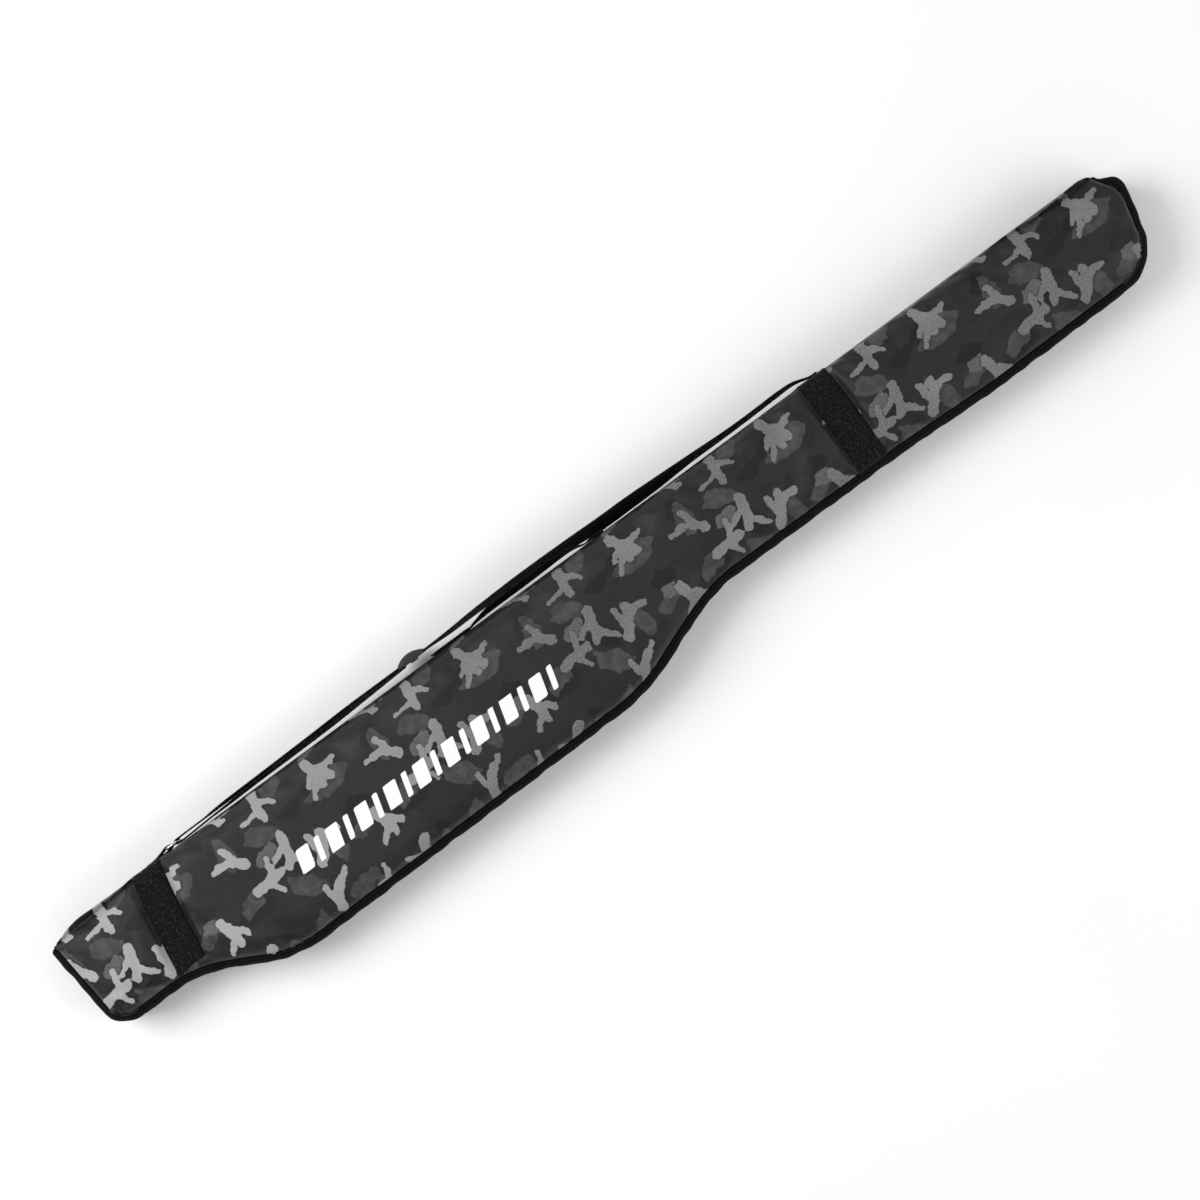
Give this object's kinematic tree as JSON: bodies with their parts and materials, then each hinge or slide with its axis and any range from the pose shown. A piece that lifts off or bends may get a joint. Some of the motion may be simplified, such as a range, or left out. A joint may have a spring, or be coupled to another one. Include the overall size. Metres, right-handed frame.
{
  "type": "fishing rod case",
  "caption": "Long padded fabric case for fishing rods with a reel bulge, a zip all round, webbing bands, a carry handle and a shoulder strap.",
  "frame": {"origin": "middle of the footprint, on the surface that the case lies on", "axes": "+X from the butt end to the tip, +Y towards the straight edge with the straps, +Z out of the front panel"},
  "size_m": [1.5001, 0.2044, 0.076],
  "materials": {
    "camo_fabric": "coated fabric with a fine pebbled weave, printed in grey camouflage, satin",
    "foam": "closed-cell foam padding",
    "lining": "plain woven nylon lining",
    "gusset_fabric": "black woven polyester",
    "piping": "black bound piping",
    "zip_tape": "black woven zip tape",
    "zip_coil": "black nylon coil",
    "zip_metal": "black enamelled zinc",
    "webbing": "black ribbed polypropylene webbing",
    "ring_metal": "nickel-plated steel wire",
    "adjuster_plastic": "dark grey moulded acetal"
  },
  "bodies": {
    "front_half": {"front_panel": "camo_fabric", "front_padding": "foam", "front_lining": "lining", "front_gusset": "gusset_fabric", "front_piping": "piping", "front_zip_tape": "zip_tape", "front_zip_coil": "zip_coil", "butt_band_front": "webbing", "tip_band_front": "webbing"},
    "back_half": {"back_panel": "camo_fabric", "back_padding": "foam", "back_lining": "lining", "back_gusset": "gusset_fabric", "back_piping": "piping", "back_zip_tape": "zip_tape", "back_zip_coil": "zip_coil", "butt_band_back": "webbing", "tip_band_back": "webbing", "zip_stops": "zip_metal", "spine_panel": "camo_fabric", "spine_padding": "foam", "spine_lining": "lining", "strap_ring": "ring_metal", "ring_tab": "webbing", "handle_patch_butt": "webbing", "handle_patch_tip": "webbing", "carry_handle": "webbing", "strap_end_ring": "webbing", "strap_end_band": "webbing"},
    "shoulder_strap": {"strap_webbing": "webbing", "strap_return": "webbing"},
    "adjuster": {"strap_adjuster": "adjuster_plastic"},
    "slider_butt": {"zip_slider_butt": "zip_metal"},
    "slider_tip": {"zip_slider_tip": "zip_metal"},
    "pull_butt": {"zip_pull_butt": "zip_metal"},
    "pull_tip": {"zip_pull_tip": "zip_metal"}
  },
  "joints": [
    {"name": "front_opening", "type": "hinge", "parent": "back_half", "child": "front_half", "pos_m": [0, 0.081, 0.068], "axis": [-1, 0, 0], "range_deg": [0, 130]},
    {"name": "strap_swing", "type": "hinge", "parent": "back_half", "child": "shoulder_strap", "pos_m": [-0.112, 0.0855, 0.038], "axis": [1, 0, 0], "range_deg": [-10, 10]},
    {"name": "adjuster_slide", "type": "slide", "parent": "shoulder_strap", "child": "adjuster", "axis": [-0.9998, -0.0174, 0], "range_m": [0, 0.2], "deforming": ["strap_return"]},
    {"name": "slider_butt_slide", "type": "slide", "parent": "back_half", "child": "slider_butt", "axis": [-0.9999, -0.0123, 0], "range_m": [0, 0.165]},
    {"name": "slider_tip_slide", "type": "slide", "parent": "back_half", "child": "slider_tip", "axis": [0.9999, 0.0123, 0], "range_m": [0, 0.185]},
    {"name": "pull_butt_flip", "type": "hinge", "parent": "slider_butt", "child": "pull_butt", "pos_m": [-0.31004, -0.0983, 0.038], "axis": [0, 0, 1], "range_deg": [0, 110]},
    {"name": "pull_tip_flip", "type": "hinge", "parent": "slider_tip", "child": "pull_tip", "pos_m": [-0.26404, -0.09774, 0.038], "axis": [0, 0, -1], "range_deg": [0, 110]}
  ]
}
